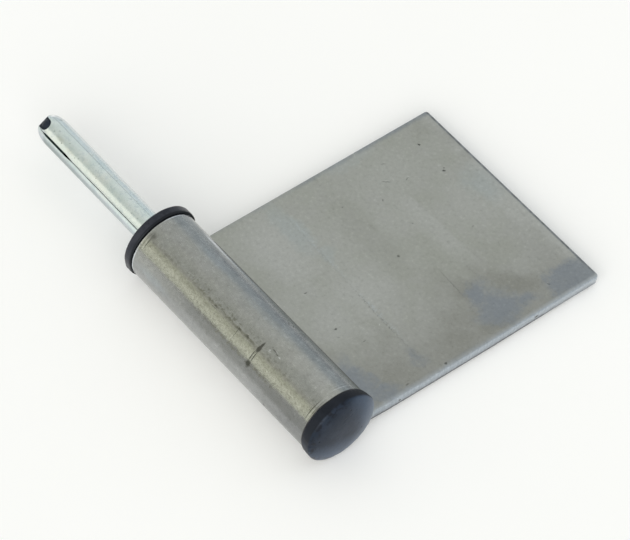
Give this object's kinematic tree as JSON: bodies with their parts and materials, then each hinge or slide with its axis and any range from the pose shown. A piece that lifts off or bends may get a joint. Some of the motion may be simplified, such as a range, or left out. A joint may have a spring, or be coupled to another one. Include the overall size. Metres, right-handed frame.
{
  "type": "lift-off hinge male half",
  "caption": "Weld-on lift-off hinge half: a flat steel leaf rolled into a knuckle, with a fixed hollow pin, plastic bush and end cap.",
  "frame": {"origin": "on the pin axis, in the face of the bush flange on which the other half of the hinge turns", "axes": "+X along the pin from its free nose to the capped end of the knuckle, +Y from the pin across the leaf to its far edge, +Z the upper normal of the leaf, whose underside is level with the knuckle's lowest line"},
  "size_m": [0.1228, 0.0991, 0.0216],
  "materials": {
    "bare_steel": "bare rolled steel, mottled, satin",
    "zinc_plated_steel": "bright zinc plate with a bluish passivate",
    "black_plastic": "moulded black plastic, semi-matte"
  },
  "bodies": {
    "root": {"rolled_leaf": "bare_steel", "hinge_pin": "zinc_plated_steel", "nose_plug": "black_plastic", "flanged_bush": "black_plastic", "end_cap": "black_plastic"}
  },
  "joints": []
}
